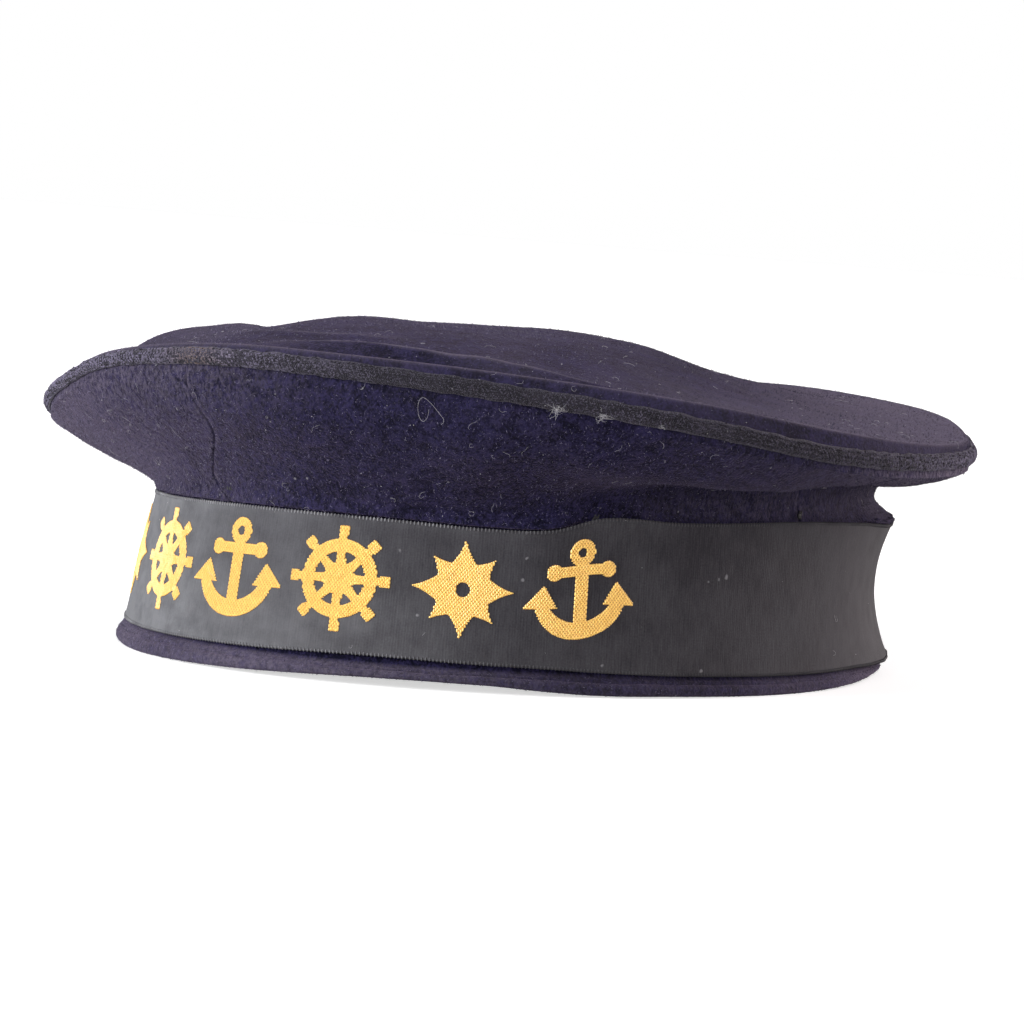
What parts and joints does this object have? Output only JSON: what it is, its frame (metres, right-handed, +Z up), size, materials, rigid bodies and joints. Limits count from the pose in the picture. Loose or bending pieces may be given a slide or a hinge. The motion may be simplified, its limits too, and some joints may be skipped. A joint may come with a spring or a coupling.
{
  "type": "sailor cap",
  "caption": "Soft round sailor cap of wool cloth on an oval headband, with a tape-covered rim and a plain ribbon; it rests on its hem.",
  "frame": {"origin": "on the surface the cap rests on, under the middle of its round crown", "axes": "+Z up, -Y towards the front of the cap, +X towards the wearer's left"},
  "size_m": [0.2246, 0.2246, 0.0791],
  "materials": {
    "navy_wool": "napped wool cloth, matte",
    "braid_tape": "herringbone braid, matte",
    "ribbon_rep": "ribbed ribbon with a soft sheen"
  },
  "bodies": {
    "root": {"crown_top": "navy_wool", "quarter_front_left": "navy_wool", "quarter_front_right": "navy_wool", "quarter_back_left": "navy_wool", "quarter_back_right": "navy_wool", "edge_tape": "braid_tape", "headband": "navy_wool", "tally_ribbon": "ribbon_rep"}
  },
  "joints": []
}
